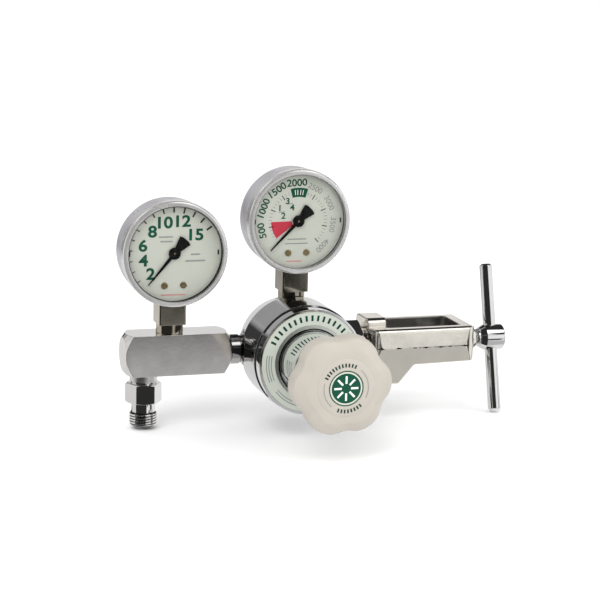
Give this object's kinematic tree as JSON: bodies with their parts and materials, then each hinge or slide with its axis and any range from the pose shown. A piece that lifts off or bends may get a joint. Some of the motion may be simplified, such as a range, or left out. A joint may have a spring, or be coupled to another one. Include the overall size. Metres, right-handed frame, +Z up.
{
  "type": "oxygen regulator",
  "caption": "Yoke-mounted oxygen regulator with two round gauges, a lobed control knob, a side outlet block and a tee screw clamp.",
  "frame": {"origin": "centre of the yoke's sealing plane, where the seal washer meets the cylinder valve", "axes": "+X from the seal towards the tee screw, -Y towards the control knob, +Z up towards the gauges"},
  "size_m": [0.2165, 0.11, 0.1364],
  "materials": {
    "body_plating": "satin nickel plating",
    "bonnet_chrome": "polished chrome",
    "fitting_plating": "bright chrome",
    "nipple_plating": "bright chrome",
    "block_plating": "satin chrome over a milled bar",
    "yoke_plating": "soft chrome over a forging",
    "tee_plating": "polished chrome",
    "pin_steel": "ground",
    "label_ring": "pale satin foil",
    "diaphragm_rubber": "matt",
    "plain_brass": "turned",
    "spring_steel": "oiled wire",
    "knob_plastic": "fine textured moulding",
    "knob_badge": "printed disc",
    "sintered_bronze": "sintered, porous",
    "washer_plastic": "smooth",
    "gauge_case": "satin silver lacquer",
    "gauge_bezel": "bright rolled steel",
    "gauge_lens": "clear",
    "gauge_dial": "matt white print",
    "pointer_black": "matt black",
    "socket_plating": "warm nickel",
    "contents_socket_plating": "bright chrome",
    "bourdon_bronze": "phosphor bronze"
  },
  "bodies": {
    "frame": {"regulator_body": "body_plating", "rear_plug": "fitting_plating", "bonnet": "bonnet_chrome", "label_ring": "label_ring", "diaphragm": "diaphragm_rubber", "main_spring": "spring_steel", "valve_nozzle": "plain_brass", "poppet_spring": "spring_steel", "inlet_filter": "sintered_bronze", "relief_cap": "fitting_plating", "relief_poppet": "plain_brass", "relief_spring": "spring_steel", "connecting_nipple": "nipple_plating", "outlet_block": "block_plating", "outlet_fitting": "fitting_plating", "flow_orifice": "plain_brass", "yoke_frame": "yoke_plating", "inlet_stem": "fitting_plating", "seal_washer": "washer_plastic", "index_pins": "pin_steel", "flow_case": "gauge_case", "flow_bezel": "gauge_bezel", "flow_lens": "gauge_lens", "flow_dial": "gauge_dial", "flow_dial_screws": "plain_brass", "flow_socket": "socket_plating", "flow_bourdon_tube": "bourdon_bronze", "flow_front_plate": "plain_brass", "flow_rear_plate": "plain_brass", "flow_hairspring": "bourdon_bronze", "contents_case": "gauge_case", "contents_bezel": "gauge_bezel", "contents_lens": "gauge_lens", "contents_dial": "gauge_dial", "contents_dial_screws": "plain_brass", "contents_socket": "contents_socket_plating", "contents_bourdon_tube": "bourdon_bronze", "contents_front_plate": "plain_brass", "contents_rear_plate": "plain_brass", "contents_hairspring": "bourdon_bronze"},
    "button": {"spring_button": "plain_brass"},
    "knob": {"control_knob": "knob_plastic", "knob_badge": "knob_badge", "adjusting_screw": "spring_steel"},
    "valve": {"diaphragm_plate": "plain_brass", "valve_poppet": "plain_brass"},
    "clamp_pad": {"swivel_pad": "tee_plating"},
    "tee": {"tee_screw": "tee_plating", "tee_bar": "tee_plating"},
    "flow_sector": {"flow_sector_gear": "plain_brass"},
    "flow_link": {"flow_tip_link": "plain_brass"},
    "flow_needle": {"flow_pointer": "pointer_black", "flow_pinion": "plain_brass"},
    "contents_sector": {"contents_sector_gear": "plain_brass"},
    "contents_link": {"contents_tip_link": "plain_brass"},
    "contents_needle": {"contents_pointer": "pointer_black", "contents_pinion": "plain_brass"}
  },
  "joints": [
    {"name": "button_slide", "type": "slide", "parent": "frame", "child": "button", "axis": [0, 1, 0], "range_m": [0, 0.00635], "deforming": ["main_spring"]},
    {"name": "knob_turn", "type": "hinge", "parent": "button", "child": "knob", "pos_m": [-0.053, -0.08, 0], "axis": [0, 1, 0], "range_deg": [0, 1440.1]},
    {"name": "valve_lift", "type": "slide", "parent": "frame", "child": "valve", "axis": [0, 1, 0], "range_m": [0, 0.0006], "stiffness_N_per_m": 400, "deforming": ["diaphragm", "poppet_spring", "main_spring"]},
    {"name": "pad_slide", "type": "slide", "parent": "frame", "child": "clamp_pad", "axis": [-1, 0, 0], "range_m": [-0.00873, 0.00238]},
    {"name": "tee_turn", "type": "hinge", "parent": "clamp_pad", "child": "tee", "pos_m": [0.05, 0, 0], "axis": [-1, 0, 0], "range_deg": [-1980, 540]},
    {"name": "flow_sector_turn", "type": "hinge", "parent": "frame", "child": "flow_sector", "pos_m": [-0.1192, 0, 0.0392], "axis": [0, -1, 0], "range_deg": [0, 45], "stiffness_Nm_per_rad": 0.001, "deforming": ["flow_bourdon_tube", "flow_hairspring"]},
    {"name": "flow_link_turn", "type": "hinge", "parent": "flow_sector", "child": "flow_link", "pos_m": [-0.11262, 0, 0.03681], "axis": [0, -1, 0], "range_deg": [-45, 0]},
    {"name": "flow_needle_turn", "type": "hinge", "parent": "frame", "child": "flow_needle", "pos_m": [-0.1192, 0, 0.0539], "axis": [0, 1, 0], "range_deg": [0, 270.5]},
    {"name": "contents_sector_turn", "type": "hinge", "parent": "frame", "child": "contents_sector", "pos_m": [-0.053, 0, 0.0544], "axis": [0, -1, 0], "range_deg": [0, 45], "stiffness_Nm_per_rad": 0.001, "deforming": ["contents_bourdon_tube", "contents_hairspring"]},
    {"name": "contents_link_turn", "type": "hinge", "parent": "contents_sector", "child": "contents_link", "pos_m": [-0.04642, 0, 0.05201], "axis": [0, -1, 0], "range_deg": [-45, 0]},
    {"name": "contents_needle_turn", "type": "hinge", "parent": "frame", "child": "contents_needle", "pos_m": [-0.053, 0, 0.0691], "axis": [0, 1, 0], "range_deg": [0, 270.5]}
  ],
  "couplings": [
    {"joint": "knob_turn", "follows": "button_slide", "rad_per_m": 3957.9},
    {"joint": "tee_turn", "follows": "pad_slide", "rad_per_m": 3957.9},
    {"joint": "flow_link_turn", "follows": "flow_sector_turn", "ratio": -1},
    {"joint": "flow_needle_turn", "follows": "flow_sector_turn", "ratio": 6},
    {"joint": "contents_link_turn", "follows": "contents_sector_turn", "ratio": -1},
    {"joint": "contents_needle_turn", "follows": "contents_sector_turn", "ratio": 6}
  ]
}
